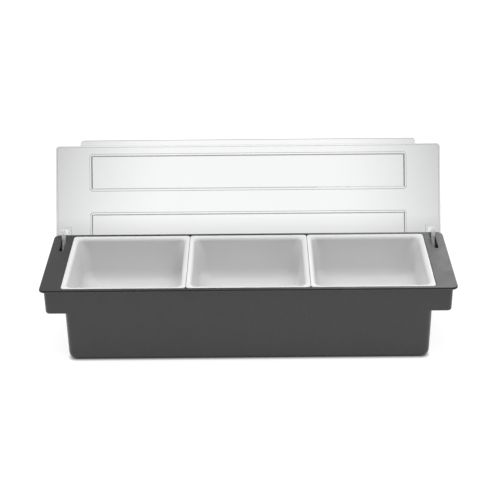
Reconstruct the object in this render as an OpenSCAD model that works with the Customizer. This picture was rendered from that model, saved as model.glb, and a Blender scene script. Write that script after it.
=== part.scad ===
// Bar caddy: a deep base with end grips, three lift-out inserts and one hinged clear lid.
// Units are millimetres. The origin is the middle of the base's underside, +Z is up and +Y is the hinge side.

/* [Base] */
// Length of the flange, end to end
flange_length = 504; // [440:1:600]
// Depth of the flange, front to back
flange_depth = 153.6; // [140:0.2:200]
// Height from the table to the top of the flange
base_height = 100; // [90:1:140]
// Thickness of the flange
flange_t = 3.2; // [3:0.1:5]
// Corner radius of the flange, seen from above
flange_r = 8; // [6:0.5:14]
// Radius along the flange's outer edges
flange_edge_r = 1.5; // [0.8:0.1:1.5]
// Width of flange beyond the front and back walls
side_overhang = 5.3; // [3.5:0.1:6]
// Width of flange beyond the end walls of the grips
end_overhang = 5; // [4:0.5:8]
// Thickness of the base's walls and floor
base_wall = 2; // [1.8:0.1:2.8]
// Draft of the base's walls, in degrees
base_draft = 0.7; // [0.5:0.1:1.5]
// Radius of the tub's upright corners, at the top
tub_corner_r = 8; // [7.5:0.5:12]
// Radius along the tub's bottom edges, front and back
tub_foot_r = 5; // [3.5:0.5:5]
// Radius along the tub's bottom edges at its two ends
tub_end_foot_r = 9.5; // [6:0.5:16]

/* [End grips] */
// Length of each end grip, from the tub's end wall to the flange's end
grip_length = 28.4; // [28:0.2:40]
// Drop from the flange's top to the grip's open lower edge
grip_drop = 34.4; // [33.4:0.2:45]
// Radius of the grip's upright corners
grip_corner_r = 5; // [4:0.5:8]
// Radius of the grip's lower outer corners, seen from the front
grip_foot_r = 2; // [1:0.5:5]

/* [Inserts] */
// Width of ledge that carries the rims at the two ends
end_ledge = 4.6; // [3.6:0.2:6]
// Width of ledge that carries the rims at the front and back
side_ledge = 1.8; // [1.4:0.2:2.8]
// Thickness of each rim, which lies flush in the flange
rim_t = 1.5; // [1:0.1:1.8]
// Corner radius of the rims
rim_corner_r = 4.5; // [2:0.5:6]
// Gap between neighbouring rims
rim_gap = 0.4; // [0.2:0.1:1]
// Gap between the rims and the flange
rim_clearance = 0.4; // [0.2:0.1:0.6]
// Height of an insert from its underside to its rim
insert_depth = 60; // [45:1:80]
// Thickness of the insert's walls and floor
insert_wall = 1.6; // [1.2:0.1:2.2]
// Gap between the end inserts and the tub's end walls
insert_gap = 0.4; // [0.3:0.1:1]
// Draft of the insert's walls, in degrees
insert_draft = 5; // [3:0.5:5]
// Radius of the insert's upright inner corners, at the top
insert_corner_r = 9.5; // [9:0.5:14]
// Radius between the insert's floor and its walls
insert_foot_r = 11; // [6:0.5:16]
// Radius over the mouth's edge
mouth_r = 2; // [1:0.5:3.5]

/* [Lid] */
// Overhang of each end of the lid beyond the flange's end
lid_end_overhang = 0.7; // [0:0.1:3]
// Thickness of the clear sheet
lid_t = 2.4; // [2:0.1:3]
// Setback of the lid's front edge from the flange's front edge
lid_setback = 2.9; // [2:0.1:6]
// Corner radius of the lid, seen from above
lid_corner_r = 5; // [3:0.5:8]
// Height of the rim that hangs from the lid's edge
lid_rim_h = 3.2; // [3:0.1:5]
// Angle between shut and fully open, in degrees
open_angle = 117; // [105:0.5:117]
// Distance from each end of the lid to the finger lip
lip_margin = 33.2; // [12:0.1:80]
// Width of the finger lip
lip_width = 8; // [5:0.5:12]
// Upward bend of the finger lip, in degrees
lip_bend = 35; // [5:1:50]
// Margin from each end of the lid to the raised panels
panel_end_margin = 43.9; // [36:0.1:60]
// Margin from the lid's front edge to the raised panels
panel_front_margin = 10.4; // [8:0.1:16]
// Margin from the lid's back edge to the raised panels
panel_back_margin = 13.9; // [8:0.1:16]
// Width of the flat band between the two panels
panel_band = 27.8; // [20:0.1:40]
// Height of the raised panels
panel_rise = 1.8; // [0.8:0.1:2.2]
// Corner radius of the raised panels
panel_corner_r = 5; // [3:0.5:8]

/* [Hinge] */
// Gap between the lid's eyes and the base's back wall
eye_gap = 0.8; // [0.5:0.1:1.2]
// Drop of the hinge line below the flange's top
hinge_drop = 18; // [17.8:0.1:18.4]
// Diameter of the steel hinge pins
pin_d = 3.2; // [2.5:0.1:3.6]
// Radial running clearance between the pins and the lid's arms
pin_clearance = 0.06; // [0.02:0.01:0.1]
// Radius of the eye at the end of each arm
eye_r = 4.2; // [4:0.1:4.3]
// Thickness of each arm, along the pin
arm_t = 4.6; // [3.5:0.1:5]
// Width of each arm, seen from the end
arm_w = 6; // [5:0.1:6]
// Width of the slots in the flange
slot_width = 6; // [5.6:0.1:7]
// Distance from the hinge line back to the end of each slot
slot_back = 2.5; // [2.3:0.1:2.9]
// Length of each slot
slot_length = 37; // [34:0.5:45]
// Thickness of the lugs on each side of a slot
lug_t = 1.8; // [1.5:0.1:2.5]
// Gap between each grip's end wall and the lug beside it
lug_gap = 1.9; // [0.5:0.1:4]

/* [Hidden] */
$fn = 64;
eps = 0.01;
skin = 0.02;         // a trimming outline stands off the walls by this much
foot_steps = 10;     // flats along each large round foot
fit_gap = 0.02;      // gap round a pin that sits still in its lugs
seat_gap = 0.3;      // gap left where the moving lid comes to rest
stop_gap = 0.45;     // gap between an arm and the bar that stops it

base_slope = tan(base_draft);
tub_length = flange_length - 2 * grip_length;
tub_depth = flange_depth - 2 * side_overhang;
grip_span = flange_length - 2 * end_overhang;
grip_edge_r = 0.8;
grip_bore_r = grip_corner_r - base_wall;

ledge_length = tub_length - 2 * base_wall + 2 * end_ledge;
ledge_depth = tub_depth - 2 * base_wall + 2 * side_ledge;
insert_count = 3;
insert_pitch = (ledge_length - 2 * rim_clearance + rim_gap) / insert_count;
rim_length = insert_pitch - rim_gap;
rim_depth = ledge_depth - 2 * rim_clearance;
rim_edge_r = 0.5;
rim_width = end_ledge - rim_clearance + insert_gap + insert_wall;  // from its outer edge to the inner wall
insert_slope = tan(insert_draft);
mouth_length = rim_length - 2 * rim_width;
mouth_depth = rim_depth - 2 * rim_width;
insert_small_foot_r = insert_corner_r - insert_slope * insert_depth - 1;

hinge_setback = side_overhang + base_wall + eye_r + eye_gap;  // from the flange's back edge
hinge_y = flange_depth / 2 - hinge_setback;
hinge_z = base_height - hinge_drop;
lid_length = flange_length + 2 * lid_end_overhang;
lip_length = lid_length - 2 * lip_margin;
corner_swing = norm([hinge_setback - flange_edge_r, hinge_drop - flange_edge_r]) + flange_edge_r;
lid_under = max(hinge_drop + lid_rim_h, corner_swing) + seat_gap;  // underside, up from the hinge line
lid_front = flange_depth - hinge_setback - lid_setback; // front edge, forward of the hinge line
lid_depth = lid_front + hinge_setback;
lid_rim_end = 13;                                       // the hanging rim stops this far ahead of the hinge line
panel_length = lid_length - 2 * panel_end_margin;
panel_depth = (lid_depth - panel_front_margin - panel_back_margin - panel_band) / 2;
panel_pitch = panel_depth + panel_band;
panel_shift = (panel_front_margin - panel_back_margin) / 2;
panel_slope = 1;
panel_edge_r = 0.6;

slot_bar = hinge_setback - slot_back;                   // bar of flange behind each slot
slot_x = grip_span / 2 - base_wall - lug_gap - lug_t - slot_width / 2;
slot_y = flange_depth / 2 - slot_bar - slot_length / 2;
slot_corner_r = 1;
pin_r = pin_d / 2;
lug_reach = 5.4;                                        // lug beyond the pin's centre, forward and down
clip_mouth = pin_d * 0.85;                              // the pin snaps up through this gap
pin_chamfer = 0.4;
pin_length = slot_width + 2 * lug_t - pin_chamfer;
root_pad = [8, 8.5, 1.2];                               // pad that joins each arm to the sheet
knee_rise = 2;                                          // height of an arm's knee over the flange, lid open
elbow_drop = 1.7;                                       // from the knee down to the elbow, lid shut

// Places on an arm, as [forward -, up] from the hinge line, worked out with the lid open
arm_stop = to_lid([hinge_setback - flange_edge_r, hinge_drop - flange_edge_r]);
arm_back = arm_stop[0] - flange_edge_r - stop_gap;
arm_mid = arm_back - arm_w / 2;
arm_knee = to_lid([slot_back - stop_gap - arm_w / 2, hinge_drop + knee_rise]);
arm_elbow = [arm_mid, arm_knee[1] - elbow_drop];

// Turns a place seen with the lid open into the shut lid's own frame
function to_lid(p) = [
    p[0] * cos(open_angle) - p[1] * sin(open_angle),
    p[0] * sin(open_angle) + p[1] * cos(open_angle)
];

// Half of a drafted wall's outline from its middle line, top at 0, with a round foot
module half_outline(reach, height, slope, foot_r) {
    lean = sqrt(1 + slope * slope);
    foot_z = foot_r - height;
    foot_x = reach + slope * foot_z - foot_r * lean;
    polygon([
        [0, 0],
        [reach, 0],
        [foot_x + foot_r / lean, foot_z - foot_r * slope / lean],
        [foot_x, -height],
        [0, -height]
    ]);
    translate([foot_x, foot_z])
        intersection() {
            circle(r = foot_r);
            translate([0, -foot_r])
                square(foot_r);
        }
}

// Quarter of material missing outside a rounded mouth, added to the outline of a hollow
module mouth_flare(reach, r) {
    difference() {
        translate([reach - eps, -r])
            square([r + eps, r + 1]);
        translate([reach + r, -r])
            circle(r = r);
        translate([reach + r, -r])
            square([eps * 2, r]);
    }
}

// Points along a round foot, from the drafted wall on the right down to the floor
function foot_arc(reach, height, slope, foot_r) =
    let (
        lean = sqrt(1 + slope * slope),
        foot_z = foot_r - height,
        foot_x = reach + slope * foot_z - foot_r * lean,
        wall_turn = atan(slope)
    )
    [for (i = [0:foot_steps])
        let (turn = wall_turn + (90 - wall_turn) * i / foot_steps)
            [foot_x + foot_r * cos(turn), foot_z - foot_r * sin(turn)]];

// Whole drafted outline with a large round foot on both sides, just outside the walls that it trims
module trim_outline(reach, height, slope, foot_r) {
    right = foot_arc(reach + skin, height + skin, slope, foot_r);
    left = [for (i = [foot_steps:-1:0]) [-right[i][0], right[i][1]]];
    top = [[-reach - skin, 1], [reach + skin, 1]];
    polygon(concat(top, right, left));
}

// Long bar whose section, seen from the front, is the child
module front_prism(span) {
    rotate([90, 0, 0])
        linear_extrude(span, center = true)
            children();
}

// Long bar whose section, seen from the end, is the child
module side_prism(span) {
    rotate([90, 0, 90])
        linear_extrude(span, center = true)
            children();
}

// Runs the child's outline along four sides and round the corners, from the corner radii's centres out
module edge_run(length, depth, r) {
    for (side = [0, 1]) {
        mirror([side, 0, 0])
            translate([length / 2 - r, 0, 0])
                front_prism(depth - 2 * r)
                    children();
        mirror([0, side, 0])
            translate([0, depth / 2 - r, 0])
                side_prism(length - 2 * r)
                    children();
    }
    for (sx = [0, 1], sy = [0, 1])
        mirror([sx, 0, 0])
            mirror([0, sy, 0])
                translate([length / 2 - r, depth / 2 - r, 0])
                    rotate_extrude(angle = 90)
                        children();
}

// Middle of a block, inside its edge run, its top at 0
module block_core(length, depth, height, r) {
    translate([r - length / 2, r - depth / 2, -height])
        cube([length - 2 * r, depth - 2 * r, height]);
}

// Drafted block with round upright corners and a round foot, its top at 0
module drafted_block(length, depth, height, corner_r, slope, foot_r) {
    block_core(length, depth, height, corner_r);
    edge_run(length, depth, corner_r)
        half_outline(corner_r, height, slope, foot_r);
}

// Outline with round corners, centred
module round_rect(length, depth, r) {
    square([length - 2 * r, depth], center = true);
    square([length, depth - 2 * r], center = true);
    for (sx = [-1, 1], sy = [-1, 1])
        translate([sx * (length / 2 - r), sy * (depth / 2 - r)])
            circle(r = r);
}

// Half of a plate's outline with a round outer edge, its top at 0
module plate_outline(reach, t, edge_r) {
    translate([0, -t])
        square([reach - edge_r, t]);
    translate([0, edge_r - t])
        square([reach, t - 2 * edge_r]);
    for (z = [-edge_r, edge_r - t])
        translate([reach - edge_r, z])
            circle(r = edge_r);
}

// Plate with round corners and round edges, its top at 0
module round_plate(length, depth, t, corner_r, edge_r) {
    block_core(length, depth, t, corner_r);
    edge_run(length, depth, corner_r)
        plate_outline(corner_r, t, edge_r);
}

// Tub shape, shrunk by an inset, with its large end radii
module tub_block(inset) {
    length = tub_length - 2 * inset;
    height = base_height - inset;
    intersection() {
        drafted_block(length, tub_depth - 2 * inset, height, tub_corner_r - inset, base_slope,
            tub_foot_r - inset);
        front_prism(flange_depth)
            trim_outline(length / 2, height, base_slope, tub_end_foot_r - inset);
    }
}

// Skirt round the top of the tub, which forms the two end grips
module grip_skirt() {
    difference() {
        intersection() {
            drafted_block(grip_span, tub_depth, grip_drop, grip_corner_r, base_slope, grip_edge_r);
            front_prism(flange_depth)
                trim_outline(grip_span / 2, grip_drop, base_slope, grip_foot_r);
        }
        translate([0, 0, -grip_drop - 1])
            linear_extrude(grip_drop + 1 - flange_t / 2)
                round_rect(grip_span - 2 * base_wall, tub_depth - 2 * base_wall, grip_bore_r);
    }
}

// The two lugs beside a slot, which hold a hinge pin from below like clips
module hinge_lugs() {
    depth = hinge_setback - side_overhang - base_wall / 2 + lug_reach;
    for (side = [-1, 1])
        translate([side * (slot_width + lug_t) / 2, 0, 0])
            difference() {
                translate([-lug_t / 2, -lug_reach, -lug_reach])
                    cube([lug_t, depth, hinge_drop - flange_t / 2 + lug_reach]);
                rotate([0, 90, 0])
                    cylinder(r = pin_r + fit_gap, h = lug_t + 1, center = true);
                translate([-lug_t, -clip_mouth / 2, -lug_reach - 1])
                    cube([lug_t * 2, clip_mouth, lug_reach + 1]);
            }
}

module base() {
    color([0.2, 0.2, 0.21]) {
        difference() {
            translate([0, 0, base_height]) {
                tub_block(0);
                grip_skirt();
                round_plate(flange_length, flange_depth, flange_t, flange_r, flange_edge_r);
            }
            translate([0, 0, base_height + eps])
                tub_block(base_wall);
            translate([0, 0, base_height - rim_t])
                linear_extrude(rim_t + 1)
                    round_rect(ledge_length, ledge_depth, rim_corner_r + rim_clearance);
            for (side = [-1, 1])
                translate([side * slot_x, slot_y, base_height - flange_t - 1])
                    linear_extrude(flange_t + 2)
                        round_rect(slot_width, slot_length, slot_corner_r);
        }
        for (side = [-1, 1])
            translate([side * slot_x, hinge_y, hinge_z])
                hinge_lugs();
    }
}

// One insert, its rim's top at 0
module insert() {
    color([0.93, 0.93, 0.92])
        difference() {
            union() {
                round_plate(rim_length, rim_depth, rim_t, rim_corner_r, rim_edge_r);
                insert_block(insert_wall, insert_depth);
            }
            translate([0, 0, eps]) {
                insert_block(0, insert_depth - insert_wall);
                insert_mouth();
            }
        }
}

// The insert's drafted shape, grown by one wall for its outside
module insert_block(grow, height) {
    length = mouth_length + 2 * grow;
    depth = mouth_depth + 2 * grow;
    intersection() {
        drafted_block(length, depth, height, insert_corner_r + grow, insert_slope,
            insert_small_foot_r + grow);
        front_prism(rim_depth)
            trim_outline(length / 2, height, insert_slope, insert_foot_r + grow);
        side_prism(rim_length)
            trim_outline(depth / 2, height, insert_slope, insert_foot_r + grow);
    }
}

// Hollow that rounds the edge of an insert's mouth
module insert_mouth() {
    edge_run(mouth_length, mouth_depth, insert_corner_r)
        mouth_flare(insert_corner_r, mouth_r);
}

module insert_left() {
    translate([-insert_pitch, 0, base_height])
        insert();
}

module insert_middle() {
    translate([0, 0, base_height])
        insert();
}

module insert_right() {
    translate([insert_pitch, 0, base_height])
        insert();
}

// Raised panel, its broad side at 0
module raised_panel() {
    mirror([0, 0, 1])
        drafted_block(panel_length, panel_depth, panel_rise, panel_corner_r, panel_slope, panel_edge_r);
}

// Places the child at the middle of each raised panel
module at_panels() {
    for (side = [-1, 1])
        translate([0, panel_shift + side * panel_pitch / 2, 0])
            children();
}

// Clear sheet with its hanging rim and panels, the sheet's underside at 0 and its middle at the origin
module lid_sheet() {
    difference() {
        union() {
            translate([0, 0, -lid_rim_h])
                linear_extrude(lid_t + lid_rim_h)
                    round_rect(lid_length, lid_depth, lid_corner_r);
            at_panels()
                translate([0, 0, lid_t])
                    raised_panel();
        }
        rim_hollow();
        at_panels()
            raised_panel();
    }
}

// Space inside the rim round the front and the two ends, which runs out at the back near the hinge
module rim_hollow() {
    rim_back = lid_depth / 2 - hinge_setback - lid_rim_end;
    translate([0, 0, -lid_rim_h - 1]) {
        linear_extrude(lid_rim_h + 1)
            round_rect(lid_length - 2 * lid_t, lid_depth - 2 * lid_t, lid_corner_r - lid_t);
        translate([-lid_length, rim_back, 0])
            cube([2 * lid_length, lid_depth, lid_rim_h + 1]);
    }
}

// Finger lip, bent up from the sheet's front edge, the sheet's top front edge at the origin
module finger_lip() {
    forward = lip_width * cos(lip_bend);
    rise = lip_width * sin(lip_bend);
    skew = lid_t * sin(lip_bend);
    intersection() {
        side_prism(lip_length)
            polygon([
                [0, 0],
                [0, -lid_t],
                [-lid_t * tan(lip_bend / 2), -lid_t],
                [-forward - skew, rise - lid_t * cos(lip_bend)],
                [-forward, rise]
            ]);
        translate([0, 0, -lid_t - 1])
            linear_extrude(lid_t + rise + 2)
                round_rect(lip_length, 2 * (forward + skew), lid_corner_r);
    }
}

// Bar of one arm between two places, seen from the end
module arm_bar(from, to) {
    run = to - from;
    translate(from)
        rotate(atan2(run[1], run[0]))
            translate([0, -arm_w / 2])
                square([norm(run), arm_w]);
    for (p = [from, to])
        translate(p)
            circle(d = arm_w);
}

// Hooked arm from the sheet to the eye round the pin, in the lid's frame about the hinge line
module hinge_arm() {
    difference() {
        union() {
            rotate([90, 0, 90])
                linear_extrude(arm_t, center = true) {
                    circle(r = eye_r);
                    arm_bar([0, 0], arm_knee);
                    arm_bar(arm_knee, arm_elbow);
                    translate([arm_mid - arm_w / 2, arm_elbow[1]])
                        square([arm_w, lid_under - arm_elbow[1]]);
                }
            translate([-root_pad[0] / 2, arm_mid - root_pad[1] / 2, lid_under - root_pad[2]])
                cube(root_pad);
        }
        rotate([0, 90, 0])
            cylinder(r = pin_r + pin_clearance, h = arm_t + 1, center = true);
    }
}

// The whole clear moulding, shut, about the hinge line
module shut_lid() {
    translate([0, (hinge_setback - lid_front) / 2, lid_under])
        lid_sheet();
    translate([0, -lid_front, lid_under + lid_t])
        finger_lip();
    for (side = [-1, 1])
        translate([side * slot_x, 0, 0])
            hinge_arm();
}

module lid() {
    color([0.85, 0.88, 0.9, 0.35])
        translate([0, hinge_y, hinge_z])
            rotate([-open_angle, 0, 0])
                shut_lid();
}

// Steel pin along the hinge line, with chamfered ends
module hinge_pin(side) {
    color([0.7, 0.7, 0.72])
        translate([side * slot_x, hinge_y, hinge_z])
            rotate([0, 90, 0])
                rotate_extrude()
                    polygon([
                        [0, -pin_length / 2],
                        [pin_r - pin_chamfer, -pin_length / 2],
                        [pin_r, pin_chamfer - pin_length / 2],
                        [pin_r, pin_length / 2 - pin_chamfer],
                        [pin_r - pin_chamfer, pin_length / 2],
                        [0, pin_length / 2]
                    ]);
}

module hinge_pin_left() {
    hinge_pin(-1);
}

module hinge_pin_right() {
    hinge_pin(1);
}

base();
insert_left();
insert_middle();
insert_right();
lid();
hinge_pin_left();
hinge_pin_right();
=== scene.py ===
import bpy
import bmesh
import math
from mathutils import Matrix, Vector


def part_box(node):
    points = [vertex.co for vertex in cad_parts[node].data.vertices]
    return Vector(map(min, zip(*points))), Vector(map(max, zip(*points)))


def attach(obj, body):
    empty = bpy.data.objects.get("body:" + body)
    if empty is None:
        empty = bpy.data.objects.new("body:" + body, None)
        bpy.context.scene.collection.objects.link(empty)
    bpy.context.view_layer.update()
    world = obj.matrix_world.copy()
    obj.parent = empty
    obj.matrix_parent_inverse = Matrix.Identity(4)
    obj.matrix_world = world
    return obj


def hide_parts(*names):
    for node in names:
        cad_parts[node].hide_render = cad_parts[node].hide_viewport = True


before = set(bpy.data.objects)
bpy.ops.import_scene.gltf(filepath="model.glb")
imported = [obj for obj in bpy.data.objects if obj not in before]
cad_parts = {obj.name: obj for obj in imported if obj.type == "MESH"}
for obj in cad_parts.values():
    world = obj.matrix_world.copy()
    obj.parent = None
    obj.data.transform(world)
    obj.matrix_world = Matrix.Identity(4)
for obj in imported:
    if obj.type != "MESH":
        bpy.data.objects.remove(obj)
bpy.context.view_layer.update()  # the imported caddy, standing on z = 0 with its hinge side at +Y
mm = 0.001
cornerSteps = 12           # flats in each quarter turn of a rounded outline
weldDistance = 0.002 * mm  # closes the seams of a skin
sliver = 0.004 * mm        # edges up to this long go when pieces have been joined


def span(node):
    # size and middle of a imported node, in millimetres
    low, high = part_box(node)
    return (high - low) / mm, (high + low) / 2 / mm


def arc(centre, radius, start, end, steps):
    # points along an arc, angles in degrees
    turns = [math.radians(start + (end - start) * i / steps) for i in range(steps + 1)]
    return [(centre[0] + radius * math.cos(t), centre[1] + radius * math.sin(t)) for t in turns]


def addNode(tree, kind, values=None, **settings):
    node = tree.nodes.new(kind)
    for name, value in settings.items():
        setattr(node, name, value)
    for socket, value in (values or {}).items():
        if isinstance(value, bpy.types.NodeSocket):
            tree.links.new(value, node.inputs[socket])
        else:
            node.inputs[socket].default_value = value
    return node


def calc(tree, operation, *terms):
    return addNode(tree, "ShaderNodeMath", dict(enumerate(terms)), operation=operation).outputs[0]


def buildRingTree():
    # skins a stack of rounded rectangles: each point of the incoming mesh is one ring,
    # x = half length, y = half depth, z = height, and its cornerRadius rounds the corners
    tree = bpy.data.node_groups.new("skinRoundedRings", "GeometryNodeTree")
    tree.interface.new_socket("Rings", in_out="INPUT", socket_type="NodeSocketGeometry")
    steps = tree.interface.new_socket("Corner Steps", in_out="INPUT", socket_type="NodeSocketInt")
    steps.default_value = cornerSteps
    weld = tree.interface.new_socket("Weld Distance", in_out="INPUT", socket_type="NodeSocketFloat")
    weld.default_value = weldDistance
    tree.interface.new_socket("Finish", in_out="INPUT", socket_type="NodeSocketMaterial")
    tree.interface.new_socket("Skin", in_out="OUTPUT", socket_type="NodeSocketGeometry")
    given = tree.nodes.new("NodeGroupInput").outputs
    result = tree.nodes.new("NodeGroupOutput")

    ringCount = addNode(tree, "GeometryNodeAttributeDomainSize", {0: given["Rings"]}).outputs["Point Count"]
    perCorner = calc(tree, "ADD", given["Corner Steps"], 1.0)
    perRing = calc(tree, "MULTIPLY", perCorner, 4.0)
    perRow = calc(tree, "ADD", perRing, 1.0)  # the last point lies on the first and is welded to it
    grid = addNode(tree, "GeometryNodeMeshGrid", {"Vertices X": ringCount, "Vertices Y": perRow})

    index = addNode(tree, "GeometryNodeInputIndex").outputs[0]
    ring = calc(tree, "FLOOR", calc(tree, "DIVIDE", calc(tree, "ADD", index, 0.5), perRow))
    along = calc(tree, "SUBTRACT", index, calc(tree, "MULTIPLY", ring, perRow))
    along = calc(tree, "MODULO", along, perRing)
    corner = calc(tree, "FLOOR", calc(tree, "DIVIDE", calc(tree, "ADD", along, 0.5), perCorner))
    inCorner = calc(tree, "SUBTRACT", along, calc(tree, "MULTIPLY", corner, perCorner))
    quarter = math.pi / 2
    turn = calc(tree, "ADD", corner, calc(tree, "DIVIDE", inCorner, given["Corner Steps"]))
    turn = calc(tree, "MULTIPLY", turn, quarter)
    middle = calc(tree, "MULTIPLY", calc(tree, "ADD", corner, 0.5), quarter)

    place = addNode(tree, "GeometryNodeInputPosition").outputs[0]
    ringPlace = addNode(tree, "GeometryNodeSampleIndex", {"Geometry": given["Rings"], "Index": ring},
                        data_type="FLOAT_VECTOR", domain="POINT")
    tree.links.new(place, ringPlace.inputs["Value"])
    radius = addNode(tree, "GeometryNodeInputNamedAttribute", {"Name": "cornerRadius"}, data_type="FLOAT")
    ringRadius = addNode(tree, "GeometryNodeSampleIndex", {"Geometry": given["Rings"], "Index": ring},
                         data_type="FLOAT", domain="POINT")
    tree.links.new(radius.outputs[0], ringRadius.inputs["Value"])
    rounding = ringRadius.outputs[0]
    size = addNode(tree, "ShaderNodeSeparateXYZ", {0: ringPlace.outputs[0]}).outputs

    sides = []
    for half, wave in ((size[0], "COSINE"), (size[1], "SINE")):
        side = calc(tree, "SIGN", calc(tree, wave, middle))
        straight = calc(tree, "MULTIPLY", side, calc(tree, "SUBTRACT", half, rounding))
        rounded = calc(tree, "MULTIPLY", rounding, calc(tree, wave, turn))
        sides.append(calc(tree, "ADD", straight, rounded))
    spot = addNode(tree, "ShaderNodeCombineXYZ", {0: sides[0], 1: sides[1], 2: size[2]}).outputs[0]
    skin = addNode(tree, "GeometryNodeSetPosition", {"Geometry": grid.outputs["Mesh"], "Position": spot})
    skin = addNode(tree, "GeometryNodeMergeByDistance",
                   {"Geometry": skin.outputs[0], "Distance": given["Weld Distance"]})
    skin = addNode(tree, "GeometryNodeRealizeInstances", {"Geometry": skin.outputs[0]})
    skin = addNode(tree, "GeometryNodeSetMaterial",
                   {"Geometry": skin.outputs[0], "Material": given["Finish"]})
    tree.links.new(skin.outputs[0], result.inputs["Skin"])
    return tree


ringTree = buildRingTree()


def bake(obj):
    # turns the evaluated object into a plain mesh and drops its modifiers
    depsgraph = bpy.context.evaluated_depsgraph_get()
    mesh = bpy.data.meshes.new_from_object(obj.evaluated_get(depsgraph))
    obj.modifiers.clear()
    obj.data = mesh
    return obj


def newObject(name, mesh):
    obj = bpy.data.objects.new(name, mesh)
    bpy.context.scene.collection.objects.link(obj)
    return obj


def outward(obj):
    # turns every face outwards
    shape = bmesh.new()
    shape.from_mesh(obj.data)
    bmesh.ops.recalc_face_normals(shape, faces=shape.faces)
    shape.to_mesh(obj.data)
    shape.free()
    return obj


def skinRings(name, rings, finish, steps=cornerSteps):
    # rings are (half length, half depth, corner radius, height) in millimetres
    mesh = bpy.data.meshes.new(name)
    mesh.from_pydata([(ring[0] * mm, ring[1] * mm, ring[3] * mm) for ring in rings], [], [])
    radius = mesh.attributes.new("cornerRadius", "FLOAT", "POINT")
    radius.data.foreach_set("value", [ring[2] * mm for ring in rings])
    obj = newObject(name, mesh)
    modifier = obj.modifiers.new("skin", "NODES")
    modifier.node_group = ringTree
    sockets = {s.name: s.identifier for s in ringTree.interface.items_tree if s.in_out == "INPUT"}
    modifier[sockets["Corner Steps"]] = steps
    modifier[sockets["Finish"]] = finish
    return outward(bake(obj))


def closed(rings):
    # folds the first and last ring flat, which shuts both ends
    def fold(ring):
        least = min(ring[0], ring[1])
        return (ring[0] - least, ring[1] - least, 0, ring[3])
    return [fold(rings[0])] + rings + [fold(rings[-1])]


def growRings(outline, profile):
    # rings that stand out from an outline's sides along a profile of (outwards, height) points
    halfLength, halfDepth, corner = outline[:3]
    return [(halfLength + out, halfDepth + out, corner + out, z) for out, z in profile]


def plate(outline, low, high, bend, steps=5):
    # rings of a plate with rounded edges, from its underside to its top
    profile = arc((-bend, low + bend), bend, -90, 0, steps)
    profile += arc((-bend, high - bend), bend, 0, 90, steps)
    return growRings(outline, profile)


def roundForm(name, profile, finish):
    # a round form along Z from (radius, height) points
    return skinRings(name, closed([(radius, radius, radius, z) for radius, z in profile]), finish)


def extrude(name, outline, depth, bend, finish):
    # a flat outline in X and Y, thickened along Z about 0, with rounded edges
    shape = bmesh.new()
    corners = [shape.verts.new((x * mm, y * mm, -depth / 2 * mm)) for x, y in outline]
    face = shape.faces.new(corners)
    raised = bmesh.ops.extrude_face_region(shape, geom=[face])["geom"]
    top = [v for v in raised if isinstance(v, bmesh.types.BMVert)]
    bmesh.ops.translate(shape, verts=top, vec=(0, 0, depth * mm))
    if bend:
        rims = [e for e in shape.edges if abs(e.verts[0].co.z - e.verts[1].co.z) < depth * mm / 2]
        bmesh.ops.bevel(shape, geom=rims, offset=bend * mm, segments=3, profile=0.5, affect="EDGES")
    bmesh.ops.recalc_face_normals(shape, faces=shape.faces)
    mesh = bpy.data.meshes.new(name)
    shape.to_mesh(mesh)
    shape.free()
    mesh.materials.append(finish)
    return newObject(name, mesh)


def strap(path, halfWidth, eye, steps=8):
    # outline of a flat strap along a path: a round eye at its start, mitred inside its bends, round outside
    outline = []
    for points in (path, path[::-1]):
        for i, here in enumerate(points):
            before = Vector(here) - Vector(points[i - 1]) if i else None
            after = Vector(points[i + 1]) - Vector(here) if i + 1 < len(points) else None
            if before is not None and after is not None:
                bend = before.angle_signed(after)   # positive turns clockwise
                now, coming = (Vector((-v.y, v.x)).normalized() for v in (before, after))
                if bend > 0:
                    start = math.degrees(math.atan2(now.y, now.x))
                    outline += arc(here, halfWidth, start, start - math.degrees(bend), steps)
                else:
                    mitre = (now + coming).normalized() * halfWidth / math.cos(bend / 2)
                    outline.append(tuple(Vector(here) + mitre))
            elif here == path[-1]:
                along = (after or before).normalized()
                outline.append(tuple(Vector(here) + Vector((-along.y, along.x)) * halfWidth))
    first = Vector(path[1]) - Vector(path[0])
    heading = math.degrees(math.atan2(first.y, first.x))
    shoulder = math.degrees(math.asin(halfWidth / eye))
    return outline + arc(path[0], eye, heading - shoulder, heading + shoulder - 360, 4 * steps)


def combine(obj, tool, operation="UNION"):
    modifier = obj.modifiers.new("combine", "BOOLEAN")
    modifier.operation = operation
    modifier.solver = "EXACT"
    modifier.object = tool
    modifier.material_mode = "TRANSFER"
    bake(obj)
    bpy.data.objects.remove(tool)
    return obj


def heal(obj):
    # welds the slivers that the joins leave, and shuts what they open
    shape = bmesh.new()
    shape.from_mesh(obj.data)
    bmesh.ops.remove_doubles(shape, verts=shape.verts, dist=sliver)
    bmesh.ops.dissolve_degenerate(shape, edges=shape.edges, dist=sliver)
    bmesh.ops.holes_fill(shape, edges=[e for e in shape.edges if e.is_boundary])
    shape.to_mesh(obj.data)
    shape.free()
    return outward(obj)


def moved(obj, matrix):
    # moves the mesh, so that the object itself stays at the origin
    obj.data.transform(matrix)
    obj.data.update()
    return obj


def shift(x, y, z):
    return Matrix.Translation((x * mm, y * mm, z * mm))


# stands an extruded outline up: its X and Y become Y and Z, and its thickness runs along X
standing = Matrix(((0, 0, 1, 0), (1, 0, 0, 0), (0, 1, 0, 0), (0, 0, 0, 1)))
lying = Matrix.Rotation(math.radians(90), 4, "Y")  # lays a round form along X


def finishPiece(obj, body, replaced, sharpAngle=32):
    mesh = obj.data
    mesh.shade_smooth()
    mesh.set_sharp_from_angle(angle=math.radians(sharpAngle))
    weighted = obj.modifiers.new("even shading", "WEIGHTED_NORMAL")
    weighted.mode = "FACE_AREA"
    weighted.keep_sharp = True
    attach(obj, body)
    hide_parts(replaced)
    return obj


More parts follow.
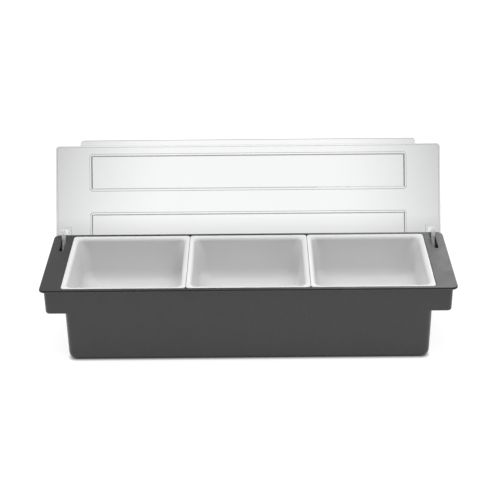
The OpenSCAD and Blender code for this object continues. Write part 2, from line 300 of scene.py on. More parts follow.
noiseRange = (0.3, 0.7)   # what a noise mostly stays within
patchRange = (0.35, 0.7)  # the same, with more of its lower end left even


def newFinish(name):
    material = bpy.data.materials.new(name)
    material.use_nodes = True
    material.node_tree.nodes.clear()
    output = material.node_tree.nodes.new("ShaderNodeOutputMaterial")
    return material, material.node_tree, output


def objectCoordinates(tree, stretch=(1, 1, 1)):
    coordinates = addNode(tree, "ShaderNodeTexCoord").outputs["Object"]
    return addNode(tree, "ShaderNodeMapping", {"Vector": coordinates, "Scale": stretch}).outputs[0]


def noise(tree, where, scale, detail):
    values = {"Vector": where, "Scale": scale, "Detail": detail}
    return addNode(tree, "ShaderNodeTexNoise", values).outputs[0]


def remap(tree, value, low, high, toLow, toHigh):
    return addNode(tree, "ShaderNodeMapRange", {0: value, 1: low, 2: high, 3: toLow, 4: toHigh}).outputs[0]


def smoothRemap(tree, value, low, high, toLow, toHigh):
    return addNode(tree, "ShaderNodeMapRange", {0: value, 1: low, 2: high, 3: toLow, 4: toHigh},
                   interpolation_type="SMOOTHSTEP").outputs[0]


def blendColours(tree, factor, first, second):
    mix = addNode(tree, "ShaderNodeMix", {0: factor}, data_type="RGBA")
    for socket, colour in ((mix.inputs[6], first), (mix.inputs[7], second)):
        if isinstance(colour, bpy.types.NodeSocket):
            tree.links.new(colour, socket)
        else:
            socket.default_value = (*colour, 1)
    return mix.outputs[2]


def bump(tree, height, strength, distance):
    values = {"Height": height, "Strength": strength, "Distance": distance}
    return addNode(tree, "ShaderNodeBump", values).outputs[0]


def oneShader(tree, output, values):
    # a finish that is a single shader
    shader = addNode(tree, "ShaderNodeBsdfPrincipled", values)
    tree.links.new(shader.outputs[0], output.inputs["Surface"])


charcoal = {
    "colour": (0.0235, 0.0235, 0.0238),
    "faded": (0.0262, 0.0262, 0.0265),
    "edge": (0.0285, 0.0285, 0.0288),
    "roughness": (0.24, 0.34),
    "ior": 1.49,
    "cloudPerMetre": 14,
    "polishPerMetre": 60,
    "grainPerMetre": 2600,
    "grainStrength": 0.5,
    "grainHeight": 0.02 * mm,
    "edgeWidth": 0.5 * mm,
    "edgeSamples": 4,
    "edgeTurn": (0.99, 0.86),        # cosines at which an edge starts to look rubbed, and is wholly so
    "edgeWear": 0.7,
    "wearPatches": (0.4, 0.6, 0.3),  # range of the cloud, and the share of wear below it
}


def makeCharcoal():
    # moulded dark plastic with a fine spark grain, slightly rubbed along its edges
    material, tree, output = newFinish("charcoalMoulding")
    where = objectCoordinates(tree)
    cloud = noise(tree, where, charcoal["cloudPerMetre"], detail=4)
    polish = noise(tree, where, charcoal["polishPerMetre"], detail=5)
    grain = noise(tree, where, charcoal["grainPerMetre"], detail=2)
    fading = remap(tree, cloud, *patchRange, 0, 1)
    colour = blendColours(tree, fading, charcoal["colour"], charcoal["faded"])
    rounded = addNode(tree, "ShaderNodeBevel", {"Radius": charcoal["edgeWidth"]},
                      samples=charcoal["edgeSamples"])
    flat = addNode(tree, "ShaderNodeNewGeometry").outputs["Normal"]
    facing = addNode(tree, "ShaderNodeVectorMath", {0: rounded.outputs[0], 1: flat},
                     operation="DOT_PRODUCT")
    rubbed = remap(tree, facing.outputs["Value"], *charcoal["edgeTurn"], 0, charcoal["edgeWear"])
    patchLow, patchHigh, least = charcoal["wearPatches"]
    patches = remap(tree, cloud, patchLow, patchHigh, least, 1)
    colour = blendColours(tree, calc(tree, "MULTIPLY", rubbed, patches), colour, charcoal["edge"])
    values = {
        "Base Color": colour,
        "Roughness": remap(tree, polish, *noiseRange, *charcoal["roughness"]),
        "IOR": charcoal["ior"],
        "Normal": bump(tree, grain, charcoal["grainStrength"], charcoal["grainHeight"]),
    }
    oneShader(tree, output, values)
    return material


white = {
    "colour": (0.70, 0.70, 0.703),
    "shade": (0.67, 0.67, 0.673),
    "roughness": (0.28, 0.42),
    "ior": 1.5,
    "mottlePerMetre": 9,
    "mottleRange": (0.35, 0.65),
    "polishPerMetre": 45,
    "grainPerMetre": 1700,
    "grainStrength": 0.4,
    "grainHeight": 0.008 * mm,
}


def makeWhite():
    # milky food-safe plastic with a satin surface and a slight mottle from the mould
    material, tree, output = newFinish("whiteMoulding")
    where = objectCoordinates(tree)
    cloud = noise(tree, where, white["mottlePerMetre"], detail=5)
    polish = noise(tree, where, white["polishPerMetre"], detail=5)
    grain = noise(tree, where, white["grainPerMetre"], detail=2)
    mottle = remap(tree, cloud, *white["mottleRange"], 0, 1)
    values = {
        "Base Color": blendColours(tree, mottle, white["colour"], white["shade"]),
        "Roughness": remap(tree, polish, *noiseRange, *white["roughness"]),
        "IOR": white["ior"],
        "Normal": bump(tree, grain, white["grainStrength"], white["grainHeight"]),
    }
    oneShader(tree, output, values)
    return material


clear = {
    "tint": (0.96, 0.965, 0.965),
    "roughness": (0.015, 0.05),
    "ior": 1.57,
    "hazePerMetre": 25,
    "wipesPerMetre": (22, 900, 900),  # long marks, which run along X
    "wipeStrength": 0.15,
    "wipeHeight": 0.0015 * mm,
    "shadowTint": (0.86, 0.87, 0.87),
}


def makeClear():
    # clear polycarbonate with faint wiping marks; shadows pass straight through it,
    # and so does what the flange mirrors
    material, tree, output = newFinish("clearMoulding")
    haze = noise(tree, objectCoordinates(tree), clear["hazePerMetre"], detail=5)
    wiped = noise(tree, objectCoordinates(tree, clear["wipesPerMetre"]), 1.0, detail=3)
    values = {
        "Base Color": (*clear["tint"], 1),
        "Roughness": remap(tree, haze, *patchRange, *clear["roughness"]),
        "IOR": clear["ior"],
        "Transmission Weight": 1.0,
        "Normal": bump(tree, wiped, clear["wipeStrength"], clear["wipeHeight"]),
    }
    shader = addNode(tree, "ShaderNodeBsdfPrincipled", values)
    through = addNode(tree, "ShaderNodeBsdfTransparent", {0: (*clear["shadowTint"], 1)})
    path = addNode(tree, "ShaderNodeLightPath").outputs
    outside = calc(tree, "LESS_THAN", path["Transmission Depth"], 0.5)
    mirrored = calc(tree, "MULTIPLY", path["Is Glossy Ray"], outside)
    straight = calc(tree, "MAXIMUM", path["Is Shadow Ray"], mirrored)
    mix = addNode(tree, "ShaderNodeMixShader", {0: straight, 1: shader.outputs[0], 2: through.outputs[0]})
    tree.links.new(mix.outputs[0], output.inputs["Surface"])
    return material


frosted = {
    "tint": (0.76, 0.765, 0.765),
    "clearness": 0.22,
    # the webs get a whiter, wholly milky copy of the arms' finish: a painted glint in the shaded slots
    "paintedGlintTint": (0.97, 0.975, 0.975),
    "paintedGlintClearness": 0.0,
    "roughness": (0.10, 0.22),
    "ior": 1.57,
    "hazePerMetre": 160,
    "milkDepth": 18 * mm,
}


def makeFrosted(name, tint, clearness):
    # the arms, left as they come from the mould: not polished, so they carry light and look milky; a
    # whiter, wholly milky copy of it on the webs is a painted glint
    material, tree, output = newFinish(name)
    haze = noise(tree, objectCoordinates(tree), frosted["hazePerMetre"], detail=4)
    values = {
        "Base Color": (*tint, 1),
        "Roughness": remap(tree, haze, *patchRange, *frosted["roughness"]),
        "IOR": frosted["ior"],
        "Transmission Weight": clearness,
        "Subsurface Weight": 1.0,
        "Subsurface Radius": (1.0, 1.0, 1.0),
        "Subsurface Scale": frosted["milkDepth"],
    }
    oneShader(tree, output, values)
    return material


steel = {
    "colour": (0.60, 0.60, 0.61),
    "roughness": (0.18, 0.34),
    "linesPerMetre": (9000, 300, 300),  # they run round the pin
    "lineStrength": 0.2,
    "lineHeight": 0.004 * mm,
}


def makeSteel():
    # drawn steel wire with fine lines
    material, tree, output = newFinish("drawnSteel")
    lines = noise(tree, objectCoordinates(tree, steel["linesPerMetre"]), 1.0, detail=4)
    values = {
        "Base Color": (*steel["colour"], 1),
        "Metallic": 1.0,
        "Roughness": remap(tree, lines, *noiseRange, *steel["roughness"]),
        "Normal": bump(tree, lines, steel["lineStrength"], steel["lineHeight"]),
    }
    oneShader(tree, output, values)
    return material


charcoalFinish = makeCharcoal()
whiteFinish = makeWhite()
clearFinish = makeClear()
frostedFinish = makeFrosted("frostedMoulding", frosted["tint"], frosted["clearness"])
# painted glint: the webs' whiter, wholly milky copy of the arms' finish
paintedGlintFinish = makeFrosted("paintedGlintMoulding", frosted["paintedGlintTint"], frosted["paintedGlintClearness"])
steelFinish = makeSteel()
print("finishes ready")

flangeSize = span("base")[0]
top = flangeSize.z
base = {
    "wall": 2.0,
    "draft": 0.7,            # degrees
    "flange": 3.2,           # thickness
    "flangeCorner": 8.0,
    "flangeEdge": 1.5,
    "gripLength": 28.4,      # tub's end wall to the flange's end
    "sideOverhang": 5.3,
    "tubCorner": 8.0,
    "leastCorner": 2.5,
    "wallRings": (30, 60),   # heights of the rings in the plain part of the walls
    "sideFoot": 5.0,         # radius under the front and back walls
    "endFoot": 9.5,          # radius under the end walls
    "footTurn": 6,           # degrees from ring to ring
    "footCorner": 0.3,       # share of the feet's draw that the upright corners follow
    "ledge": (4.6, 1.8),     # what the rims rest on: at the ends, at the front and back
    "rebate": 1.5,
    "rebateCorner": 4.9,
    "lip": 0.35,             # small round along the rebate's top edge
    "fillet": 0.8,           # under the flange
    "gripOverhang": 5.0,
    "gripDrop": 34.4,
    "gripCorner": 5.0,
    "gripFoot": 2.0,
    "gripFootTurn": 15,
    "gripEdge": 0.8,
    "buried": 0.12,          # the grips' long walls stay just inside the tub's
    "slot": (6.0, 37.0),
    "slotCorner": 1.0,
    "slotEdge": 0.4,
    "slotTurn": 60,          # degrees of that round, which ends in a flat chamfer
    "slotBack": 2.5,         # from the hinge line back to the end of each slot
    "lug": 1.8,
    "lugReach": 5.4,
    "lugEdge": 0.25,
    "clipGap": 0.02,
    "clipMouth": 2.72,
    "clipLead": (0.5, 0.9),  # chamfer that leads the pin into its clip
}
pinSize, pinMiddle = span("hinge_pin_right")
hinge = {"x": pinMiddle.x, "y": pinMiddle.y, "z": pinMiddle.z}
hinge["setback"] = flangeSize.y / 2 - hinge["y"]
hinge["drop"] = top - hinge["z"]
base["slotBar"] = hinge["setback"] - base["slotBack"]  # of flange behind each slot


def footIn(height, radius):
    # how far a round foot draws a wall in, at a height over the bottom
    if height >= radius:
        return 0
    return radius - math.sqrt(radius ** 2 - (radius - height) ** 2)


def tubRings(inset, rimHeight):
    # from the bottom up to rimHeight, walls drawn in by an inset
    slope = math.tan(math.radians(base["draft"]))
    halfLength = flangeSize.x / 2 - base["gripLength"] - inset
    halfDepth = flangeSize.y / 2 - base["sideOverhang"] - inset
    sideFoot, endFoot = base["sideFoot"] - inset, base["endFoot"] - inset
    turns = [math.radians(t) for t in range(0, 91, base["footTurn"])]
    heights = [endFoot * (1 - math.cos(turn)) for turn in turns]
    heights += [*base["wallRings"], rimHeight - inset]
    rings = []
    for z in heights:
        drawn = slope * (top - inset - z)
        corner = base["tubCorner"] - inset - drawn - base["footCorner"] * footIn(z, endFoot)
        rings.append((halfLength - drawn - footIn(z, endFoot), halfDepth - drawn - footIn(z, sideFoot),
                      max(corner, base["leastCorner"]), z + inset))
    return rings


def makeTub():
    # up the inside, over the rebate and the flange's edge, and down the outside
    wall, lip, edge, fillet = (base[k] for k in ("wall", "lip", "flangeEdge", "fillet"))
    endLedge, sideLedge = base["ledge"]
    rebateFloor, under = top - base["rebate"], top - base["flange"]
    flange = (flangeSize.x / 2, flangeSize.y / 2, base["flangeCorner"])
    ledge = (flange[0] - base["gripLength"] - wall + endLedge,
             flange[1] - base["sideOverhang"] - wall + sideLedge, base["rebateCorner"])
    inner = tubRings(wall, rebateFloor)
    outer = tubRings(0, under - fillet)
    rebate = [(*ledge, rebateFloor)]
    rebate += growRings(ledge, arc((lip, top - lip), lip, 180, 90, steps=3))
    roundEdge = growRings(flange, arc((-edge, top - edge), edge, 90, 0, steps=6))
    roundEdge += growRings(flange, arc((-edge, under + edge), edge, 0, -90, steps=6))
    inCorner = growRings(outer[-1], arc((fillet, under - fillet), fillet, 90, 180, steps=4))
    rings = inner + rebate + roundEdge + inCorner + outer[::-1][1:]
    return skinRings("caddyBase", closed(rings), charcoalFinish)


def makeGrips():
    # a skirt round the tub's top, which shows only where it stands past the tub's ends
    slope = math.tan(math.radians(base["draft"]))
    halfLength = flangeSize.x / 2 - base["gripOverhang"]
    halfDepth = flangeSize.y / 2 - base["sideOverhang"] - base["buried"]
    bottom, high = top - base["gripDrop"], top - base["flange"] / 2
    foot, edge, corner, wall = (base[k] for k in ("gripFoot", "gripEdge", "gripCorner", "wall"))
    rings = []
    for t in range(0, 91, base["gripFootTurn"]):
        z = foot * (1 - math.cos(math.radians(t)))
        drawn = slope * (base["gripDrop"] - z)
        rings.append((halfLength - drawn - footIn(z, foot), halfDepth - drawn - footIn(z, edge),
                      corner, bottom + z))
    rings.append((halfLength - slope * (top - high), halfDepth, corner, high))
    inside = (halfLength - wall, halfDepth - wall + 2 * base["buried"], corner - wall)
    rings.append((*inside, high))
    rings += growRings(inside, arc((edge / 2, bottom + edge / 2), edge / 2, 180, 270, steps=3))
    return skinRings("grips", rings + rings[:1], charcoalFinish)


def makeLug(side):
    # one clip beside a slot: the pin snaps up into it from below
    low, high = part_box("hinge_pin_left")
    pinRadius = (high - low).z / mm / 2
    reach, mouth = base["lugReach"], base["clipMouth"] / 2
    leadWide, leadHigh = base["clipLead"]
    seat = pinRadius + base["clipGap"]
    opening = math.degrees(math.asin(mouth / seat))
    bore = arc((0, 0), seat, -90 + opening, 270 - opening, steps=30)
    back = hinge["setback"] - base["sideOverhang"] - base["wall"] / 2
    up = hinge["drop"] - base["flange"] / 2
    outline = [(-reach, -reach), (-mouth - leadWide, -reach), (-mouth, -reach + leadHigh)] + bore[::-1]
    outline += [(mouth, -reach + leadHigh), (mouth + leadWide, -reach)]
    outline += [(back, -reach), (back, up), (-reach, up)]
    lug = extrude("lug", outline, base["lug"], base["lugEdge"], charcoalFinish)
    return moved(lug, shift(side * hinge["x"], hinge["y"], hinge["z"]) @ standing)


def makeSlot(side):
    # the cutter for one slot, which also rounds its mouth
    outline = (base["slot"][0] / 2, base["slot"][1] / 2, base["slotCorner"])
    edge, turn = base["slotEdge"], base["slotTurn"]
    below, out, above = 2, 1.2, 0.7  # how far the cutter runs past the flange
    rings = [(*outline, top - base["flange"] - below)]
    rings += growRings(outline, arc((edge, top - edge), edge, 180, 180 - turn, steps=3))
    rings += growRings(rings[-1], [(out, rings[-1][3] + above)])
    cutter = skinRings("slot", closed(rings), charcoalFinish, steps=6)
    back = flangeSize.y / 2 - base["slotBar"]
    return moved(cutter, shift(side * hinge["x"], back - outline[1], 0))


def makeBase():
    piece = makeTub()
    combine(piece, makeGrips())
    for side in (-1, 1):
        for cheek in (-1, 1):
            lug = makeLug(side)
            moved(lug, shift(cheek * (base["slot"][0] + base["lug"]) / 2, 0, 0))
            combine(piece, lug)
        combine(piece, makeSlot(side), "DIFFERENCE")
    return finishPiece(heal(piece), "base", "base")


insert = {
    "rim": 1.5,
    "rimEdge": 0.5,
    "rimCorner": 4.5,
    "rimWidth": 6.2,     # outer edge to the line of the inner wall
    "mouthRound": 5.5,
    "wall": 1.6,
    "draft": 5.0,        # degrees
    "depth": 60.0,
    "mouthCorner": 5.0,  # the upright corners are tight at the mouth,
    "corner": 13.0,      # open out over the first part of their height
    "cornerRun": 26.0,
    "foot": 16.0,
    "footCorner": 12.0,  # and close a little round the flat floor
    "fillet": 1.0,       # under the rim
    "wallSteps": 12,     # rings up the round foot, and again up the wall
}


def cornerAt(z):
    # inner corner radius of a bowl, z below its rim
    run = min(-z / insert["cornerRun"], 1)
    widening = insert["corner"] - insert["mouthCorner"]
    return insert["mouthCorner"] + widening * math.sin(run * math.pi / 2)


def bowlWall(grow, depth, upTo):
    # rings of one side of the bowl's wall, from the floor up to a height below the rim
    size = span("insert_middle")[0]
    slope = math.tan(math.radians(insert["draft"]))
    halfLength = size.x / 2 - insert["rimWidth"] + grow
    halfDepth = size.y / 2 - insert["rimWidth"] + grow
    foot = insert["foot"] + grow
    steps = insert["wallSteps"]
    middle = slope * (depth - foot) + foot / math.cos(math.radians(insert["draft"]))
    rings = []
    for i in range(steps + 1):
        turn = math.radians(-90 + (90 - insert["draft"]) * i / steps)
        z = foot - depth + foot * math.sin(turn)
        drawn = middle - foot * math.cos(turn)
        corner = cornerAt(z) + grow
        corner += (insert["footCorner"] - corner) * (1 - i / steps) ** 2
        rings.append((halfLength - drawn, halfDepth - drawn, corner, z))
    low = rings[-1][3]
    for i in range(1, steps + 1):
        z = low + (upTo - low) * i / steps
        rings.append((halfLength + slope * z, halfDepth + slope * z, cornerAt(z) + grow, z))
    return rings


def makeInsert(node):
    size, middle = span(node)
    bend, start = insert["mouthRound"], 180 - insert["draft"]
    edge, rim, fillet = insert["rimEdge"], insert["rim"], insert["fillet"]
    reach = -bend * math.cos(math.radians(start))
    mouthLow = -bend + bend * math.sin(math.radians(start))
    inner = bowlWall(0, insert["depth"] - insert["wall"], mouthLow)
    outer = bowlWall(insert["wall"], insert["depth"], -rim - fillet)
    mouth = growRings(inner[-1], arc((reach, -bend), bend, start, 90, steps=7))[1:]
    profile = arc((-edge, -edge), edge, 90, 0, steps=4) + arc((-edge, edge - rim), edge, 0, -90, steps=4)
    rimEdge = growRings((size.x / 2, size.y / 2, insert["rimCorner"]), profile)
    under = growRings(outer[-1], arc((fillet, outer[-1][3]), fillet, 90, 180, steps=4))
    rings = inner + mouth + rimEdge + under + outer[::-1][1:]
    name = "bowl" + node.split("_")[1].capitalize()
    piece = skinRings(name, closed([(*ring[:3], top + ring[3]) for ring in rings]), whiteFinish)
    moved(piece, shift(middle.x, middle.y, 0))
    return finishPiece(piece, node, node)


lid = {
    "sheet": 2.4,
    "setback": 2.9,      # front edge, behind the flange's front edge
    "corner": 5.0,
    "edge": 1.1,         # round along the sheet's edges
    "endOverhang": 0.7,  # beyond the flange's ends
    "rim": 3.2,          # height of the hanging rim
    "rimInset": 0.12,
    "rimEdge": 0.5,
    "rimStart": 13.0,    # the rim stops this far ahead of the hinge line
    "seat": 0.3,
    "openAngle": 117.0,  # degrees
    "panelEnd": 43.9,
    "panelFront": 10.4,
    "panelBack": 13.9,
    "panelBand": 27.8,
    "panelRise": 1.8,
    "panelCorner": 5.0,
    "panelRound": 0.35,
    "panelDraft": 0.20,  # run of a panel's wall for its rise
    "leastCorner": 0.8,  # of a panel or a hollow
    "hollowWall": 2.6,   # between a panel's outside and the hollow under it
    "hollowCorner": 1.6,
    "hollowRise": 2.3,
    "hollowRound": 0.25,
    "hollowDraft": 0.55,
    "lipMargin": 32.2,   # from the sheet's ends
    "lipWidth": 8.0,
    "lipRoot": 2.5,      # how far it runs back into the sheet
    "lipDrop": 0.1,      # below the sheet's face
    "lipSheet": 2.2,
    "lipCorner": 5.0,
    "lipEdge": 0.3,
    "lipBend": 35.0,     # degrees
    "buried": 0.5,       # how far one form of the moulding runs into the next
}
arm = {
    "eye": 4.2,
    "thick": 4.8,
    "width": 6.0,
    "round": 0.6,
    "stopGap": 0.45,         # to the bar of flange, with the lid open
    "clearance": 0.06,
    "boreChamfer": 0.4,
    "kneeRise": 2.0,         # of the hooked arm's first bend over the flange, with the lid open
    "kneeFall": 1.7,         # and its second bend under the first, with the lid shut
    "pad": (8.8, 11.5, 2.6),
    "padCorner": 1.5,
    "padEdge": 0.5,
    "padShift": (1.5, 1.5),  # inwards, and away from the hinge
    "web": (8.0, 6.0),       # how far the stiffening web stands out, its foot's height over the pin
    "webOverlap": 2.0,       # into the arm
    "webShoulder": 1.0,
    "webFoot": (1.5, 2.5),   # chamfer under the web
    "webThinner": 0.3,       # than the arm
}


def toLid(y, z):
    # a place seen with the lid open, turned into the shut lid's own frame about the hinge line
    turn = math.radians(lid["openAngle"])
    return (y * math.cos(turn) - z * math.sin(turn), y * math.sin(turn) + z * math.cos(turn))


def lidUnder():
    # underside of the sheet, up from the hinge line: over its rim, and clear of the flange's back corner
    edge = base["flangeEdge"]
    swing = math.hypot(hinge["setback"] - edge, hinge["drop"] - edge) + edge
    return max(hinge["drop"] + lid["rim"], swing) + lid["seat"]


def mouldLid():
    # the whole moulding, shut and about the hinge line
    halfLength = flangeSize.x / 2 + lid["endOverhang"]
    front = flangeSize.y - hinge["setback"] - lid["setback"]
    halfDepth = (front + hinge["setback"]) / 2
    middle = (hinge["setback"] - front) / 2
    low = lidUnder()
    high = low + lid["sheet"]
    sheet = plate((halfLength, halfDepth, lid["corner"]), low, high, lid["edge"])
    piece = skinRings("clearLid", closed(sheet), clearFinish)
    moved(piece, shift(0, middle, 0))

    long = halfLength - lid["panelEnd"]
    deep = (2 * halfDepth - lid["panelFront"] - lid["panelBack"] - lid["panelBand"]) / 4
    between = middle + (lid["panelFront"] - lid["panelBack"]) / 2
    wall = lid["hollowWall"]
    for side in (-1, 1):
        spot = shift(0, between + side * (deep + lid["panelBand"] / 2), 0)
        raised = panelForm(long, deep, lid["panelCorner"], lid["panelRise"], lid["panelRound"],
                           lid["panelDraft"])
        combine(piece, moved(raised, spot @ shift(0, 0, high)))
        hollow = panelForm(long - wall, deep - wall, lid["hollowCorner"], lid["hollowRise"],
                           lid["hollowRound"], lid["hollowDraft"])
        combine(piece, moved(hollow, spot @ shift(0, 0, low)), "DIFFERENCE")

    combine(piece, moved(hangingRim(halfLength, halfDepth, low), shift(0, middle, 0)))
    combine(piece, moved(fingerLip(halfLength - lid["lipMargin"]), shift(0, -front, high)))
    for side in (-1, 1):
        spot = shift(side * hinge["x"], 0, 0)
        combine(piece, moved(hingeArm(low), spot))
        combine(piece, moved(armWeb(), spot))
        combine(piece, moved(armRoot(low), shift(side * (hinge["x"] - arm["padShift"][0]), 0, 0)))
        combine(piece, moved(pinBore(), spot @ lying), "DIFFERENCE")
    return piece


def pinBore():
    # the eye's bore, with a chamfer at both mouths
    radius, half, chamfer = pinSize.z / 2 + arm["clearance"], arm["thick"] / 2, arm["boreChamfer"]
    profile = [(radius + chamfer, -half - chamfer / 2), (radius, -half + chamfer),
               (radius, half - chamfer), (radius + chamfer, half + chamfer / 2)]
    return roundForm("bore", profile, frostedFinish)


def panelForm(halfLength, halfDepth, corner, rise, bend, draft):
    # a raised panel, from just below the sheet's face: a steep step with a rounded top edge
    sink = lid["buried"]
    run = draft * (rise - bend) + bend
    rings = [(halfLength + draft * sink, halfDepth + draft * sink, corner, -sink)]
    for out, z in arc((-run, rise - bend), bend, math.degrees(math.atan(draft)), 90, steps=5):
        rings.append((halfLength + out, halfDepth + out, max(corner + out, lid["leastCorner"]), z))
    return skinRings("panel", closed(rings), clearFinish)


def hangingRim(halfLength, halfDepth, low):
    # runs round the front and the ends of the sheet, and is cut off ahead of the hinge
    inset, thick, edge = lid["rimInset"], lid["sheet"], lid["rimEdge"]
    high, bottom = low + lid["buried"], low - lid["rim"]
    profile = [(-inset, high), *arc((-inset - edge, bottom + edge), edge, 0, -90, steps=3)]
    profile += [*arc((-thick + edge, bottom + edge), edge, -90, -180, steps=3), (-thick, high)]
    rings = growRings((halfLength, halfDepth, lid["corner"]), profile)
    rim = skinRings("rim", rings + rings[:1], clearFinish)
    past, deep = 9, 40  # how far the cutter runs past the rim, and half its depth
    block = [(halfLength + past, deep, 1, z) for z in (bottom - past, low + past)]
    away = skinRings("away", closed(block), clearFinish, steps=1)
    back = halfDepth - hinge["setback"] - lid["rimStart"]
    return combine(rim, moved(away, shift(0, back + deep, 0)), "DIFFERENCE")


def fingerLip(half):
    # slopes down from the front edge of the sheet, half being half its length
    reach, corner, back = lid["lipWidth"], lid["lipCorner"], lid["lipRoot"]
    outline = [(half, back), (-half, back)]
    outline += arc((-half + corner, -reach + corner), corner, 180, 270, steps=8)
    outline += arc((half - corner, -reach + corner), corner, 270, 360, steps=8)
    lip = extrude("lip", outline, lid["lipSheet"], lid["lipEdge"], clearFinish)
    moved(lip, shift(0, 0, -lid["lipSheet"] / 2 - lid["lipDrop"]))
    return moved(lip, Matrix.Rotation(math.radians(-lid["lipBend"]), 4, "X"))


def armPath(low):
    # from the pin through the slot, round the bar behind it and up into the sheet
    halfWidth, flangeBack = arm["width"] / 2, hinge["setback"] - base["flangeEdge"]
    stop = toLid(flangeBack, hinge["drop"] - base["flangeEdge"])
    middle = stop[0] - base["flangeEdge"] - arm["stopGap"] - halfWidth
    knee = toLid(base["slotBack"] - arm["stopGap"] - halfWidth, hinge["drop"] + arm["kneeRise"])
    return [(0, 0), knee, (middle, knee[1] - arm["kneeFall"]), (middle, low + lid["buried"])]


def hingeArm(low):
    outline = strap(armPath(low), arm["width"] / 2, arm["eye"])
    return moved(extrude("arm", outline, arm["thick"], arm["round"], frostedFinish), standing)


def armWeb():
    # stiffens the upright part of an arm: it slopes out from the flange's height down to its foot
    reach, foot = arm["web"]
    overlap, (inwards, down) = arm["webOverlap"], arm["webFoot"]
    face = base["slotBack"] - arm["stopGap"] - arm["width"]
    corners = [(face + overlap, hinge["drop"]), (face, hinge["drop"] - arm["webShoulder"]),
               (face - reach, foot), (face - reach + inwards, foot - down), (face + overlap, 0)]
    outline = [toLid(y, z) for y, z in corners]
    thick = arm["thick"] - arm["webThinner"]
    # the web's whiter finish is a painted glint
    return moved(extrude("web", outline, thick, arm["round"], paintedGlintFinish), standing)


def armRoot(low):
    # the thickened patch of the sheet that an arm stands on
    long, deep, thick = arm["pad"]
    outline = (long / 2, deep / 2, arm["padCorner"])
    rings = plate(outline, low - thick, low + lid["sheet"] / 2, arm["padEdge"], steps=3)
    root = skinRings("root", closed(rings), clearFinish, steps=4)
    return moved(root, shift(0, armPath(low)[-1][0] - arm["padShift"][1], 0))


def makeLid():
    piece = mouldLid()
    swing = Matrix.Rotation(math.radians(-lid["openAngle"]), 4, "X")
    moved(piece, shift(0, hinge["y"], hinge["z"]) @ swing)
    return finishPiece(heal(piece), "lid", "lid")


pin = {"chamfer": 0.4}


def makePin(node, name):
    size, middle = span(node)
    radius, half, chamfer = size.z / 2, size.x / 2, pin["chamfer"]
    profile = [(radius - chamfer, -half), (radius, -half + chamfer),
               (radius, half - chamfer), (radius - chamfer, half)]
    piece = roundForm(name, profile, steelFinish)
    moved(piece, shift(*middle) @ lying)
    return finishPiece(piece, "base", node)


makeBase()
print("base ready")
for node in ("insert_left", "insert_middle", "insert_right"):
    makeInsert(node)
print("bowls ready")
makeLid()
print("lid ready")
makePin("hinge_pin_left", "pinLeft")
makePin("hinge_pin_right", "pinRight")
print("pins ready")

studio = {
    "floor": 12.0,                    # metres
    "floorAlbedo": 0.72,
    "glow": 0.86,                     # share of the floor's level that only its contact shadow reaches
    "lit": 0.25,                      # albedo of the rest, which the lamps light
    "contact": 0.005,                 # metres of contact shadow round what stands on the floor
    "contactDepth": 1.6,
    "contactSamples": 16,
    "seenThrough": 0.908,             # level of the floor seen through the lid, where its painted pool of light is brightest
    "paintedPoolWide": (0.12, 0.63),        # the painted pool of light is even to the first distance, metres, and fades to the second
    "paintedPoolDeep": (0.60, 1.30),
    "paintedShadowNear": (0.12, 0.34, 0.35),  # painted shadow: close behind the caddy the floor seen through the lid is dimmer
    # level where the painted pool of light ends; also the room's level in front, seen through the lid
    "sweepEnd": 0.04,
    "turn": (-0.5, 0.4),              # from the room's front to its back, as the direction's Y
    "front": 0.09,                    # the room in front of the table is dim
    "back": 0.62,
    "ends": 0.95,                     # added towards both ends of the table
    "endsPower": 4.0,
    "mirroredFront": 0.02,            # levels of the room and the floor, seen in gloss
    "mirroredBack": 0.60,
    "mirroredFloor": 1.32,
    "lowSky": 0.30,                   # the wall behind the table, seen through the lid's edges
}


def fade(tree, value, reach, end):
    # 1 up to the first distance either side of the middle, falling to end at the second
    return smoothRemap(tree, calc(tree, "ABSOLUTE", value), *reach, 1.0, end)


